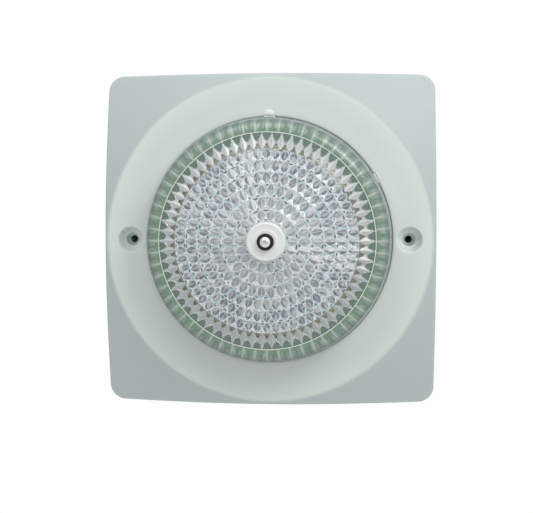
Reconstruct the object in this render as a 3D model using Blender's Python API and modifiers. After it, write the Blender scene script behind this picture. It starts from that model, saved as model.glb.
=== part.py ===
"""A horn strobe for a wall.

A steel bracket stays on the wall. The unit in front of it is a square moulded cover with a raised round face, a
rear housing, two boards, a piezo sounder with a short horn, and a hexagonal LED column under a mirror plate.
A clear lens stands on the round face and is held by one screw in its centre.

Everything is modelled in a working frame with x to the right, y up and z out of the wall. The empty wall_frame
turns that frame, so that in the world +Z is up and the front faces -Y. Lengths are in metres.
"""

import math

import bmesh
import bpy
from mathutils import Matrix

# Driving dimensions.
GAP = 0.0003  # between neighbours that touch
COVER_SIDE = 0.140
COVER_CORNER = 0.0065
COVER_BACK_Z = 0.0004
COVER_WALL = 0.0025
FACE_RADIUS = 0.0685  # the flat round face
FACE_Z = 0.038
CORNER_SLOPE = math.radians(21)
TUNNEL_X = 0.05875  # half the spacing of the two fixing screws
TUNNEL_HOLE = 0.00265
TUNNEL_TUBE = 0.0045
RECESS_RADIUS = 0.00545

LENS_RADIUS = 0.0515
LENS_WALL = 0.0024
LENS_SEAT_Z = 0.0330
SCREW_LEDGE_Z = 0.0305  # the ledge in each tunnel that a fixing screw's head bears on
LEDGE_HOLE = 0.0016
LUG_HEADINGS = (30, 90)  # the lens's two locating lugs, in degrees round its centre
LUG_REACH = 0.0522
LENS_BOSS_Z = 0.0650
LENS_BOSS_RADIUS = 0.0076

BRACKET_SIDE = 0.129
BRACKET_THICK = 0.002
CABLE_HOLE_Y = -0.022

HOUSING_SIDE = 0.1342
HOUSING_Z = 0.0045
HOUSING_FLOOR = 0.002
HOUSING_DEPTH = 0.006
WINDOW_SIZE = (0.054, 0.038)

BOARD_THICK = 0.0016
MAIN_BOARD_Z = 0.015
MAIN_BOARD_SIZE = (0.104, 0.092)
LED_BOARD_Z = 0.030
LED_BOARD_RADIUS = 0.048
PILLAR_X = 0.033
PILLAR_Y = 0.024

COLUMN_APOTHEM = 0.0352
COLUMN_HEIGHT = 0.018
COLUMN_WALL = 0.004
MIRROR_THICK = 0.0012
MIRROR_RADIUS = 0.038

for old in list(bpy.data.objects):
    bpy.data.objects.remove(old)

PARTS = bpy.data.collections.new("horn_strobe")
CUTTERS = bpy.data.collections.new("cutters")
bpy.context.scene.collection.children.link(PARTS)
bpy.context.scene.collection.children.link(CUTTERS)

WALL_FRAME = bpy.data.objects.new("wall_frame", None)
WALL_FRAME.rotation_euler = (math.radians(90), 0, 0)
PARTS.objects.link(WALL_FRAME)


def make_finish(name, color, roughness, metallic=0.0):
    """A plain Principled material."""
    material = bpy.data.materials.new(name)
    material.use_nodes = True
    shader = material.node_tree.nodes["Principled BSDF"]
    shader.inputs["Base Color"].default_value = (*color, 1)
    shader.inputs["Roughness"].default_value = roughness
    shader.inputs["Metallic"].default_value = metallic
    return material


COVER_WHITE = make_finish("frosted_white", (0.66, 0.72, 0.69), 0.45)
LENS_CLEAR = make_finish("clear_lens", (0.70, 0.76, 0.76), 0.08)
HOUSING_GREY = make_finish("housing_grey", (0.55, 0.56, 0.55), 0.5)
STEEL = make_finish("zinc_steel", (0.62, 0.63, 0.64), 0.35, 1.0)
BRIGHT_STEEL = make_finish("bright_steel", (0.82, 0.83, 0.84), 0.15, 1.0)
ALUMINIUM = make_finish("aluminium", (0.75, 0.76, 0.78), 0.3, 1.0)
MIRROR = make_finish("mirror", (0.92, 0.93, 0.94), 0.05, 1.0)
BRASS = make_finish("brass", (0.72, 0.55, 0.26), 0.3, 1.0)
BOARD_GREEN = make_finish("board_green", (0.02, 0.16, 0.07), 0.4)
LED_BOARD_WHITE = make_finish("led_board_white", (0.80, 0.80, 0.76), 0.4)
RUBBER = make_finish("rubber", (0.03, 0.03, 0.03), 0.8)
BLACK_PLASTIC = make_finish("black_plastic", (0.025, 0.025, 0.028), 0.45)
TERMINAL_GREEN = make_finish("terminal_green", (0.05, 0.32, 0.12), 0.4)
SWITCH_RED = make_finish("switch_red", (0.45, 0.04, 0.03), 0.4)
WHITE_NYLON = make_finish("white_nylon", (0.85, 0.85, 0.83), 0.4)
TRIMMER_BLUE = make_finish("trimmer_blue", (0.05, 0.16, 0.50), 0.4)


def add_object(name, mesh, at=(0, 0, 0), finish=None):
    """Puts a mesh in the working frame as a part, or as a cutter if it has no finish."""
    piece = bpy.data.objects.new(name, mesh)
    piece.location = at
    piece.parent = WALL_FRAME
    if finish is None:
        CUTTERS.objects.link(piece)
        piece.hide_render = True
        piece.display_type = "WIRE"
        return piece
    mesh.materials.append(finish)
    PARTS.objects.link(piece)
    mesh.shade_smooth()
    mesh.set_sharp_from_angle(angle=math.radians(35))
    return piece


def mesh_from(name, bm):
    """Turns a bmesh into a mesh and frees it."""
    mesh = bpy.data.meshes.new(name)
    bm.to_mesh(mesh)
    bm.free()
    return mesh


def add_box(name, size, at, finish=None, corner=0.0):
    """A box of the given size centred on at. corner rounds its four edges along z."""
    bm = bmesh.new()
    bmesh.ops.create_cube(bm, size=1, matrix=Matrix.Diagonal((*size, 1)))
    if corner:
        upright = [e for e in bm.edges if abs(e.verts[0].co.z - e.verts[1].co.z) > size[2] / 2]
        bmesh.ops.bevel(bm, geom=upright, offset=corner, segments=6, profile=0.5, affect="EDGES")
    return add_object(name, mesh_from(name, bm), at, finish)


def add_cylinder(name, radius, low, high, centre=(0, 0), finish=None, sides=24, top_radius=None):
    """An upright cylinder, prism or cone from z low to z high."""
    bm = bmesh.new()
    bmesh.ops.create_cone(
        bm,
        cap_ends=True,
        segments=sides,
        radius1=radius,
        radius2=radius if top_radius is None else top_radius,
        depth=high - low,
    )
    return add_object(name, mesh_from(name, bm), (*centre, (low + high) / 2), finish)


def add_turned(name, profile, closed, at=(0, 0, 0), finish=None, steps=48):
    """A profile of (radius, z) points turned about z. An open profile starts and ends on the axis."""
    bm = bmesh.new()
    points = [bm.verts.new((radius, 0, z)) for radius, z in profile]
    ends = points[1:] + points[:1] if closed else points[1:]
    for first, second in zip(points, ends):
        bm.edges.new((first, second))
    piece = add_object(name, mesh_from(name, bm), at, finish)
    screw = piece.modifiers.new("turn", "SCREW")
    screw.steps = steps
    screw.render_steps = steps
    screw.use_merge_vertices = True
    screw.merge_threshold = 0.00001
    screw.use_smooth_shade = True
    return piece


def boolean(piece, other, operation="DIFFERENCE"):
    """Cuts, joins or intersects piece with other, which is a cutter."""
    step = piece.modifiers.new(other.name, "BOOLEAN")
    step.operation = operation
    step.object = other
    return piece


def arc(centre, radius, start, end, count):
    """Points on a circular arc in the (radius, z) plane, angles in degrees."""
    angles = [math.radians(start + (end - start) * i / (count - 1)) for i in range(count)]
    return [(centre[0] + radius * math.cos(a), centre[1] + radius * math.sin(a)) for a in angles]


# Wall bracket ------------------------------------------------------------------------------------------------
BOX_SCREW_REACH = 0.04165  # half the spacing of a wall box's two screws
BOSS_TOP = 0.009


def make_bracket():
    """A zinc-plated steel plate with box slots, a cable hole, and two threaded bosses for the unit's screws."""
    plate = add_box(
        "wall_bracket",
        (BRACKET_SIDE, BRACKET_SIDE, BRACKET_THICK),
        (0, 0, BRACKET_THICK / 2),
        STEEL,
        corner=0.006,
    )
    for side in (-1, 1):
        where = (side * TUNNEL_X, 0)
        boss = add_cylinder(f"boss_{side}", TUNNEL_TUBE, BRACKET_THICK / 2, BOSS_TOP, where)
        boolean(plate, boss, "UNION")
        thread = add_cylinder(f"thread_{side}", 0.0017, 0.0008, BOSS_TOP + 0.001, where, sides=16)
        boolean(plate, thread)
        slot_place = (0, side * BOX_SCREW_REACH, 0)
        tall_slot = add_box(f"tall_slot_{side}", (0.0046, 0.010, 0.01), slot_place, corner=0.0022)
        wide_slot = add_box(f"wide_slot_{side}", (0.010, 0.0046, 0.01), (side * 0.030, 0, 0), corner=0.0022)
        boolean(plate, tall_slot)
        boolean(plate, wide_slot)
    cable_hole = add_cylinder("cable_hole", 0.012, -0.001, 0.004, (0, CABLE_HOLE_Y), sides=32)
    boolean(plate, cable_hole)


def make_grommet():
    """A push-in rubber grommet: a sleeve in the cable hole and a flange on the bracket's front."""
    sleeve = 0.012 - GAP
    flange = 0.0145
    hole = 0.0085
    low = GAP
    seat = BRACKET_THICK + GAP
    top = seat + 0.0018
    profile = [(hole, top), (flange, top), (flange, seat), (sleeve, seat), (sleeve, low), (hole, low)]
    add_turned("cable_grommet", profile, True, (0, CABLE_HOLE_Y, 0), RUBBER, steps=32)


# Front cover -------------------------------------------------------------------------------------------------
SEAL_STEP_Z = 0.0131
SCREW_CORNER = 0.058
OPENING_RADIUS = LENS_RADIUS + 0.0005
SEAT_INNER_RADIUS = 0.0488
COLLAR_RADIUS = 0.0545
COLLAR_Z = 0.0318


def face_solid(name, drop, radius_change):
    """A turned solid whose top is the round face, lowered by drop, falling off as a cone outside it."""
    rim = FACE_RADIUS + radius_change
    reach = 0.110
    top = FACE_Z - drop
    rim_low = top - (reach - rim) * math.tan(CORNER_SLOPE)
    return add_turned(name, [(0, top), (rim, top), (reach, rim_low), (reach, -0.02), (0, -0.02)], False, steps=72)


def make_cover():
    """The moulded cover: a rounded square under a round face, hollow behind, with its two screw tunnels."""
    height = FACE_Z + 0.01
    centre_z = COVER_BACK_Z + height / 2
    cover = add_box("front_cover", (COVER_SIDE, COVER_SIDE, height), (0, 0, centre_z), COVER_WHITE, COVER_CORNER)
    boolean(cover, face_solid("outer_face", 0, 0), "INTERSECT")

    wide_side = COVER_SIDE - 2 * COVER_WALL
    narrow_side = wide_side - 0.0046
    upper = add_box("upper_hollow", (narrow_side, narrow_side, 0.08), (0, 0, 0), corner=0.0030)
    boolean(upper, face_solid("inner_face", COVER_WALL, -0.0005), "INTERSECT")
    lower = add_box("lower_hollow", (wide_side, wide_side, 0.04), (0, 0, SEAL_STEP_Z - 0.02), corner=0.0065)
    boolean(cover, upper)
    boolean(cover, lower)

    collar = add_cylinder("collar", COLLAR_RADIUS, COLLAR_Z, FACE_Z - 0.001, sides=64)
    boolean(cover, collar, "UNION")
    key = add_object("lens_key", dome_mesh("lens_key", 0.00275), (0, OPENING_RADIUS + 0.0004, FACE_Z - 0.0009))
    boolean(cover, key, "UNION")
    opening = [
        (0, FACE_Z + 0.01),
        (OPENING_RADIUS, FACE_Z + 0.01),
        (OPENING_RADIUS, LENS_SEAT_Z),
        (SEAT_INNER_RADIUS, LENS_SEAT_Z),
        (SEAT_INNER_RADIUS, COLLAR_Z - 0.005),
        (0, COLLAR_Z - 0.005),
    ]
    boolean(cover, add_turned("lens_opening", opening, False, steps=64))
    for heading in LUG_HEADINGS:
        notch_reach = LUG_REACH + 0.0004
        boolean(cover, add_lug(f"lug_notch_{heading}", heading, 0.050, notch_reach, 0.0054, LENS_SEAT_Z, 0.05))

    for side in (-1, 1):
        where = (side * TUNNEL_X, 0)
        boolean(cover, add_cylinder(f"tunnel_{side}", TUNNEL_TUBE, BOSS_TOP + GAP, FACE_Z - 0.001, where), "UNION")
        bowl = [(0, FACE_Z + 0.001), (RECESS_RADIUS, FACE_Z + 0.001)]
        bowl += arc((0, FACE_Z), RECESS_RADIUS, 0, -60, 6)
        bowl += [(TUNNEL_HOLE, SCREW_LEDGE_Z), (LEDGE_HOLE, SCREW_LEDGE_Z), (LEDGE_HOLE, 0), (0, 0)]
        boolean(cover, add_turned(f"screw_path_{side}", bowl, False, (*where, 0), steps=32))
    for x in (-SCREW_CORNER, SCREW_CORNER):
        for y in (-SCREW_CORNER, SCREW_CORNER):
            label = f"{x > 0:d}{y > 0:d}"
            post_foot = HOUSING_Z + HOUSING_FLOOR + GAP
            post = add_cylinder(f"corner_post_{label}", 0.0038, post_foot, 0.0312, (x, y), sides=16)
            boolean(cover, post, "UNION")
            boolean(cover, add_cylinder(f"corner_pilot_{label}", 0.0015, 0, 0.020, (x, y), sides=12))
    for i in range(SLOT_COUNT):
        x = (i - (SLOT_COUNT - 1) / 2) * SLOT_PITCH
        slot = add_box(f"sound_slot_{i}", (0.0024, 0.012, 0.009), (x, -COVER_SIDE / 2, HORN_Z))
        boolean(cover, slot)


def add_lug(name, heading, near, far, width, low, high, finish=None):
    """A small block on the radius at a heading in degrees: one of the lens's lugs, or the notch around it."""
    angle = math.radians(heading)
    middle = (near + far) / 2
    where = (middle * math.cos(angle), middle * math.sin(angle), (low + high) / 2)
    block = add_box(name, (far - near, width, high - low), where, finish)
    block.rotation_euler = (0, 0, angle)
    return block


def dome_mesh(name, radius):
    """A small flattened ball for the lens's key."""
    bm = bmesh.new()
    bmesh.ops.create_uvsphere(bm, u_segments=20, v_segments=10, radius=radius)
    bmesh.ops.scale(bm, vec=(1, 1, 0.55), verts=bm.verts)
    return mesh_from(name, bm)


# Rear housing ------------------------------------------------------------------------------------------------
def make_housing():
    """A tray that closes the cover's back, with a window over the wiring parts and posts for the boards."""
    high = HOUSING_Z + HOUSING_DEPTH
    size = (HOUSING_SIDE, HOUSING_SIDE, HOUSING_DEPTH)
    tray = add_box("rear_housing", size, (0, 0, (HOUSING_Z + high) / 2), HOUSING_GREY, corner=0.0062)
    inside = HOUSING_SIDE - 0.004
    hollow = add_box("tray_hollow", (inside, inside, 0.02), (0, 0, HOUSING_Z + HOUSING_FLOOR + 0.01), corner=0.0042)
    boolean(tray, hollow)
    boolean(tray, add_box("wiring_window", (*WINDOW_SIZE, 0.02), (0, CABLE_HOLE_Y, HOUSING_Z), corner=0.003))
    for side in (-1, 1):
        hole = add_cylinder(f"tray_tunnel_hole_{side}", 0.0053, 0, 0.02, (side * TUNNEL_X, 0))
        boolean(tray, hole)
    for x in (-PILLAR_X, PILLAR_X):
        for y in (-PILLAR_Y, PILLAR_Y):
            label = f"{x > 0:d}{y > 0:d}"
            low = HOUSING_Z + HOUSING_FLOOR / 2
            post = add_cylinder(f"board_post_{label}", 0.0035, low, MAIN_BOARD_Z - GAP, (x, y), sides=16)
            boolean(tray, post, "UNION")
            boolean(tray, add_cylinder(f"board_pilot_{label}", 0.0016, 0.0085, 0.02, (x, y), sides=12))
    for x in (-SCREW_CORNER, SCREW_CORNER):
        for y in (-SCREW_CORNER, SCREW_CORNER):
            boolean(tray, add_cylinder(f"tray_hole_{x > 0:d}{y > 0:d}", 0.0016, 0, 0.02, (x, y), sides=12))


def make_housing_seal():
    """A rubber loop pressed between the tray's rim and the step inside the cover."""
    low = HOUSING_Z + HOUSING_DEPTH + GAP
    high = SEAL_STEP_Z - GAP
    middle = (low + high) / 2
    seal = add_box("housing_seal", (HOUSING_SIDE, HOUSING_SIDE, high - low), (0, 0, middle), RUBBER, corner=0.0062)
    inside = HOUSING_SIDE - 0.0036
    boolean(seal, add_box("seal_hollow", (inside, inside, 0.02), (0, 0, middle), corner=0.0044))


def add_screw(name, at, head_z, shaft_length, head_radius=0.0026, shaft_radius=0.00115, points=-1, finish=STEEL):
    """A pan-head screw with a cross recess. points is the way that the shaft goes along z from the head."""
    head = 0.0018
    z = head_z
    top = -points * head
    profile = [
        (0, z + top),
        (head_radius * 0.55, z + top),
        (head_radius, z + top * 0.45),
        (head_radius, z),
        (shaft_radius, z),
        (shaft_radius, z + points * shaft_length),
        (0, z + points * shaft_length),
    ]
    if points > 0:
        profile.reverse()
    screw = add_turned(name, profile, False, (*at, 0), finish, steps=12)
    for turn in ("x", "y"):
        size = (0.0026, 0.0006, 0.0014) if turn == "x" else (0.0006, 0.0026, 0.0014)
        boolean(screw, add_box(f"{name}_recess_{turn}", size, (*at, z + top)))
    return screw


def make_housing_screws():
    """Four screws from behind, through the tray and into the cover's corner posts."""
    corners = [(x, y) for x in (-SCREW_CORNER, SCREW_CORNER) for y in (-SCREW_CORNER, SCREW_CORNER)]
    for i, corner in enumerate(corners):
        add_screw(f"housing_screw_{i + 1}", corner, HOUSING_Z - GAP, 0.013, points=1)


# Boards ------------------------------------------------------------------------------------------------------
PILLAR_LOW = MAIN_BOARD_Z + BOARD_THICK + GAP
PILLAR_HIGH = LED_BOARD_Z - GAP


def make_boards():
    """The main board on the tray's posts, the round LED board on four hexagonal pillars, and the link between."""
    main_middle = (0, 0, MAIN_BOARD_Z + BOARD_THICK / 2)
    main_board = add_box("main_board", (*MAIN_BOARD_SIZE, BOARD_THICK), main_middle, BOARD_GREEN, corner=0.003)
    led_board = add_cylinder(
        "led_board", LED_BOARD_RADIUS, LED_BOARD_Z, LED_BOARD_Z + BOARD_THICK, finish=BOARD_GREEN, sides=64
    )
    places = [(x, y) for x in (-PILLAR_X, PILLAR_X) for y in (-PILLAR_Y, PILLAR_Y)]
    for i, place in enumerate(places):
        boolean(main_board, add_cylinder(f"main_board_hole_{i}", 0.0016, 0.01, 0.02, place, sides=12))
        boolean(led_board, add_cylinder(f"led_board_hole_{i}", 0.0016, 0.025, 0.035, place, sides=12))
        pillar = add_cylinder(f"board_pillar_{i + 1}", 0.0031, PILLAR_LOW, PILLAR_HIGH, place, BRASS, sides=6)
        stud = add_cylinder(f"pillar_stud_{i}", 0.0012, 0.0092, PILLAR_LOW + 0.001, place, sides=12)
        boolean(pillar, stud, "UNION")
        boolean(pillar, add_cylinder(f"pillar_thread_{i}", 0.0015, 0.023, 0.035, place, sides=12))
        add_screw(f"led_board_screw_{i + 1}", place, LED_BOARD_Z + BOARD_THICK + GAP, 0.007)
    link_size = (0.0127, 0.0050, PILLAR_HIGH - PILLAR_LOW)
    add_box("board_link", link_size, (0, 0.012, (PILLAR_HIGH + PILLAR_LOW) / 2), BLACK_PLASTIC)


# LED column --------------------------------------------------------------------------------------------------
COLUMN_LOW = LED_BOARD_Z + BOARD_THICK + GAP
COLUMN_HIGH = COLUMN_LOW + COLUMN_HEIGHT
MIRROR_LOW = COLUMN_HIGH + GAP
POST_RADIUS = 0.004
POST_HIGH = 0.0605


def add_hexagon(name, apothem, low, high, finish=None):
    """A six-sided prism with corners at 0, 60, 120 degrees and so on."""
    piece = add_cylinder(name, apothem / math.cos(math.radians(30)), low, high, finish=finish, sides=6)
    piece.rotation_euler = (0, 0, math.radians(30))
    return piece


def make_column():
    """The hexagonal heat-sink column, the round mirror plate on top, and the threaded post for the lens."""
    column = add_hexagon("led_column", COLUMN_APOTHEM, COLUMN_LOW, COLUMN_HIGH, ALUMINIUM)
    boolean(column, add_hexagon("column_hollow", COLUMN_APOTHEM - COLUMN_WALL, 0, 0.09))
    mirror_high = MIRROR_LOW + MIRROR_THICK
    mirror = add_cylinder("mirror_plate", MIRROR_RADIUS, MIRROR_LOW, mirror_high, finish=MIRROR, sides=64)
    boolean(mirror, add_cylinder("mirror_hole", POST_RADIUS + GAP, 0.04, 0.06, sides=32))
    post = add_cylinder("centre_post", POST_RADIUS, COLUMN_LOW, POST_HIGH, finish=WHITE_NYLON, sides=24)
    boolean(post, add_cylinder("post_thread", 0.0016, 0.050, 0.065, sides=16))


def make_led_strips():
    """Six LED strips, one on each side of the column: a white board with four square LEDs near its top."""
    board_size = (0.0012, 0.031, 0.0155)
    led_size = (0.0018, 0.005, 0.005)
    led_pitch = 0.0066
    for side in range(6):
        angle = math.radians(30 + 60 * side)
        strip_name = f"led_strip_{side + 1}"
        bm = bmesh.new()
        out = COLUMN_APOTHEM + GAP + board_size[0] / 2
        board_place = Matrix.Translation((out, 0, 0)) @ Matrix.Diagonal((*board_size, 1))
        bmesh.ops.create_cube(bm, size=1, matrix=board_place)
        strip = add_object(strip_name, mesh_from(strip_name, bm), (0, 0, COLUMN_LOW + 0.0092), LED_BOARD_WHITE)
        strip.rotation_euler = (0, 0, angle)
        for i in range(4):
            bm = bmesh.new()
            led_out = COLUMN_APOTHEM + GAP + board_size[0] + led_size[0] / 2 - 0.0004
            place = Matrix.Translation((led_out, (i - 1.5) * led_pitch, 0.0040))
            bmesh.ops.create_cube(bm, size=1, matrix=place @ Matrix.Diagonal((*led_size, 1)))
            led = add_object(f"{strip_name}_led_{i}", mesh_from(f"led_{side}_{i}", bm), strip.location)
            led.rotation_euler = (0, 0, angle)
            boolean(strip, led, "UNION")


# Lens and its fixing -----------------------------------------------------------------------------------------
LENS_BASE_Z = LENS_SEAT_Z + 0.0018
FACE_EDGE = (0.0440, 0.0560)  # the prism face's outer edge, where the shoulder starts
FACE_INNER = (0.0088, 0.0626)
SHOULDER = 0.0060
WALL_TOP_RADIUS = 0.0500
SCREW_HOLE = 0.0017


def make_lens():
    """A turned clear shell: flat boss, slightly conical prism face, rounded shoulder, steep skirt and base."""
    corner = (WALL_TOP_RADIUS - SHOULDER, FACE_EDGE[1] - SHOULDER)
    outside = [(SCREW_HOLE, LENS_BOSS_Z), (LENS_BOSS_RADIUS, LENS_BOSS_Z), FACE_INNER]
    outside += arc(corner, SHOULDER, 88, 4, 6)
    outside += [(LENS_RADIUS, FACE_Z + 0.0015), (LENS_RADIUS, LENS_BASE_Z)]
    inside = [(LENS_RADIUS - LENS_WALL, LENS_BASE_Z), (LENS_RADIUS - LENS_WALL, FACE_Z + 0.0015)]
    inside += arc(corner, SHOULDER - LENS_WALL, 4, 88, 5)
    inside += [(FACE_INNER[0], FACE_INNER[1] - LENS_WALL), (SCREW_HOLE, POST_HIGH + GAP)]
    lens = add_turned("lens", outside + inside, True, finish=LENS_CLEAR, steps=64)
    for heading in LUG_HEADINGS:
        lug_base = LENS_BASE_Z + 0.0006
        lug = add_lug(f"lens_lug_{heading}", heading, 0.0505, LUG_REACH, 0.0048, lug_base, FACE_Z + 0.0002)
        boolean(lens, lug, "UNION")


def add_ring(name, radius, thickness, z, finish, steps=48, sides=10):
    """A ring of round section turned about z."""
    section = arc((radius, z), thickness, 90, 90 - 360 * (sides - 1) / sides, sides)
    return add_turned(name, section, True, finish=finish, steps=steps)


def make_lens_fixing():
    """The seal under the lens's base, and the black washer and bright screw in its centre."""
    add_ring("lens_seal", 0.0502, 0.0006, (LENS_SEAT_Z + LENS_BASE_Z) / 2, RUBBER, steps=40, sides=6)
    low = LENS_BOSS_Z + GAP
    high = low + 0.0019
    washer = [(SCREW_HOLE, high), (0.0029, high), (0.0036, high - 0.0008), (0.0036, low), (SCREW_HOLE, low)]
    add_turned("centre_washer", washer, True, finish=BLACK_PLASTIC, steps=32)
    head_low = high + GAP
    head_radius = 0.00215
    head = arc((0, head_low), head_radius, 90, 0, 6)
    head = [(radius, head_low + (z - head_low) * 0.6) for radius, z in head]
    shaft = [(0.00125, head_low), (0.00125, 0.0535), (0, 0.0535)]
    head[0] = (0, head[0][1])
    add_turned("centre_screw", head + shaft, False, finish=BRIGHT_STEEL, steps=24)


# Sounder -----------------------------------------------------------------------------------------------------
SOUNDER_Y = -0.027
SOUNDER_RADIUS = 0.0175
HORN_Z = 0.0220
HORN_WALL = 0.0010
SLOT_COUNT = 7
SLOT_PITCH = 0.0050


def make_sounder():
    """The piezo sounder: a round black case with a port in its lower side, a brass disc, and a flared horn."""
    low = MAIN_BOARD_Z + BOARD_THICK + GAP
    high = low + 0.010
    inner = SOUNDER_RADIUS - 0.0015
    centre = (0, SOUNDER_Y)
    case = add_cylinder("sounder_case", SOUNDER_RADIUS, low, high, centre, BLACK_PLASTIC, sides=40)
    boolean(case, add_cylinder("case_hollow", inner, low + 0.0015, high - 0.0015, centre, sides=40))
    boolean(case, add_box("case_port", (0.012, 0.010, 0.0050), (0, SOUNDER_Y - SOUNDER_RADIUS, HORN_Z)))
    add_cylinder("sounder_disc", inner - GAP, low + 0.0018, low + 0.0023, centre, BRASS, sides=40)

    throat = (0.016, 0.0074)
    mouth = (0.040, 0.0110)
    near = SOUNDER_Y - SOUNDER_RADIUS - GAP
    far = -COVER_SIDE / 2 + COVER_WALL + 0.0023 + GAP
    horn = horn_piece("sound_horn", throat, mouth, near, far, BLACK_PLASTIC)
    thinner = 2 * HORN_WALL
    hollow = horn_piece(
        "horn_hollow",
        (throat[0] - thinner, throat[1] - thinner),
        (mouth[0] - thinner, mouth[1] - thinner),
        near + 0.0001,
        far - 0.0001,
    )
    boolean(horn, hollow)


def horn_piece(name, throat, mouth, near, far, finish=None):
    """A flared box along y, from a throat of (width, height) to a mouth of (width, height)."""
    bm = bmesh.new()
    bmesh.ops.create_cube(bm, size=1)
    for corner in bm.verts:
        at_throat = corner.co.y > 0
        width, height = throat if at_throat else mouth
        corner.co = (corner.co.x * width, near if at_throat else far, corner.co.z * height)
    return add_object(name, mesh_from(name, bm), (0, 0, HORN_Z), finish)


# Wiring parts on the main board's back -----------------------------------------------------------------------
REAR = MAIN_BOARD_Z - GAP
TERMINAL_Y = -0.0345
TERMINAL_PITCH = 0.0075
TERMINAL_SIZE = (0.0160, 0.0095, 0.0095)
CLAMP_THICK = 0.0012
CAGE_HIGH = 0.0138
CAGE_LOW = 0.0090


def make_terminals():
    """A two-way terminal block: each way has a screw that turns and a clamp plate that it drives."""
    block_low = REAR - TERMINAL_SIZE[2]
    block = add_box("terminal_block", TERMINAL_SIZE, (0, TERMINAL_Y, (REAR + block_low) / 2), TERMINAL_GREEN)
    for i in range(2):
        x = (i - 0.5) * TERMINAL_PITCH
        cage_size = (0.0050, 0.0095, CAGE_HIGH - CAGE_LOW)
        cage_at = (x, TERMINAL_Y + 0.002, (CAGE_HIGH + CAGE_LOW) / 2)
        boolean(block, add_box(f"cage_hollow_{i}", cage_size, cage_at))
        boolean(block, add_cylinder(f"screw_well_{i}", 0.0022, 0.0, 0.0100, (x, TERMINAL_Y), sides=20))
        screw_low = block_low + 0.0004
        screw = add_cylinder(
            f"terminal_screw_{i + 1}", 0.0019, screw_low, CAGE_LOW + 0.0001, (x, TERMINAL_Y), STEEL, sides=20
        )
        boolean(screw, add_box(f"terminal_slot_{i}", (0.0044, 0.0006, 0.0016), (x, TERMINAL_Y, screw_low)))
        clamp_low = CAGE_LOW + 2 * GAP
        clamp_size = (0.0044, 0.0048, CLAMP_THICK)
        add_box(f"wire_clamp_{i + 1}", clamp_size, (x, TERMINAL_Y, clamp_low + CLAMP_THICK / 2), BRASS)


def make_settings():
    """The four-way setting switch, the reset switch and the volume trimmer."""
    block_at = (-0.018, -0.015)
    block_size = (0.0070, 0.0118, 0.0050)
    block_low = REAR - block_size[2]
    block = add_box("setting_switch", block_size, (*block_at, REAR - block_size[2] / 2), SWITCH_RED)
    pocket = (0.0042, 0.0018, 0.0044)
    slider = (0.0018, 0.0012, 0.0026)
    travel = 0.0016
    for i in range(4):
        y = block_at[1] + (1.5 - i) * 0.0026
        boolean(block, add_box(f"slider_pocket_{i}", pocket, (block_at[0], y, block_low)))
        place = (block_at[0] - travel / 2, y, block_low + 0.0005)
        add_box(f"setting_slider_{i + 1}", slider, place, WHITE_NYLON)

    reset_at = (0.016, -0.012)
    reset_low = REAR - 0.0035
    reset = add_box("reset_switch", (0.0062, 0.0062, 0.0035), (*reset_at, (REAR + reset_low) / 2), STEEL)
    boolean(reset, add_cylinder("reset_well", 0.0020, 0, reset_low + 0.0018, reset_at, sides=20))
    add_cylinder("reset_button", 0.0016, reset_low - 0.0016, reset_low + 0.0012, reset_at, BLACK_PLASTIC, sides=20)

    trimmer_at = (0, -0.008)
    trimmer_low = REAR - 0.0045
    trimmer_place = (*trimmer_at, (REAR + trimmer_low) / 2)
    trimmer = add_box("volume_trimmer", (0.0066, 0.0066, 0.0045), trimmer_place, TRIMMER_BLUE)
    boolean(trimmer, add_cylinder("trimmer_well", 0.0025, 0, trimmer_low + 0.0024, trimmer_at, sides=24))
    rotor = add_cylinder(
        "trimmer_rotor", 0.0022, trimmer_low - 0.0004, trimmer_low + 0.0020, trimmer_at, WHITE_NYLON, sides=24
    )
    boolean(rotor, add_box("rotor_slot", (0.0034, 0.0006, 0.0016), (*trimmer_at, trimmer_low - 0.0004)))


# Power and control parts on the main board's front -----------------------------------------------------------
def make_power_parts():
    """Two electrolytic capacitors, a toroidal inductor and two chips."""
    low = MAIN_BOARD_Z + BOARD_THICK + GAP
    for i, place in enumerate([(-0.041, 0.012), (-0.041, 0.026)]):
        add_cylinder(f"capacitor_{i + 1}", 0.0050, low, low + 0.0115, place, ALUMINIUM, sides=24)
    section = arc((0.0055, low + 0.0028), 0.0028, 90, 90 - 360 * 7 / 8, 8)
    add_turned("inductor", section, True, (0.040, 0.0, 0), BRASS, steps=20)
    add_box("driver_chip", (0.0076, 0.0056, 0.0016), (0.012, 0.030, low + 0.0008), BLACK_PLASTIC)
    add_box("controller_chip", (0.0090, 0.0090, 0.0014), (-0.012, 0.030, low + 0.0007), BLACK_PLASTIC)


make_bracket()
make_grommet()
make_cover()
make_housing()
make_housing_seal()
make_housing_screws()
make_boards()
make_column()
make_led_strips()
make_lens()
make_lens_fixing()
make_sounder()
make_terminals()
make_settings()
make_power_parts()
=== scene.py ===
"""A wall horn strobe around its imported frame: frosted square cover, prismatic lens, LED column, boards,
sounder and wall bracket. Lengths are metres. Shapes are worked out in the wall's own axes, x to the right,
y up and z out of the wall, and are turned into the frame's axes when their mesh is made."""

import functools
import math

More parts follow.
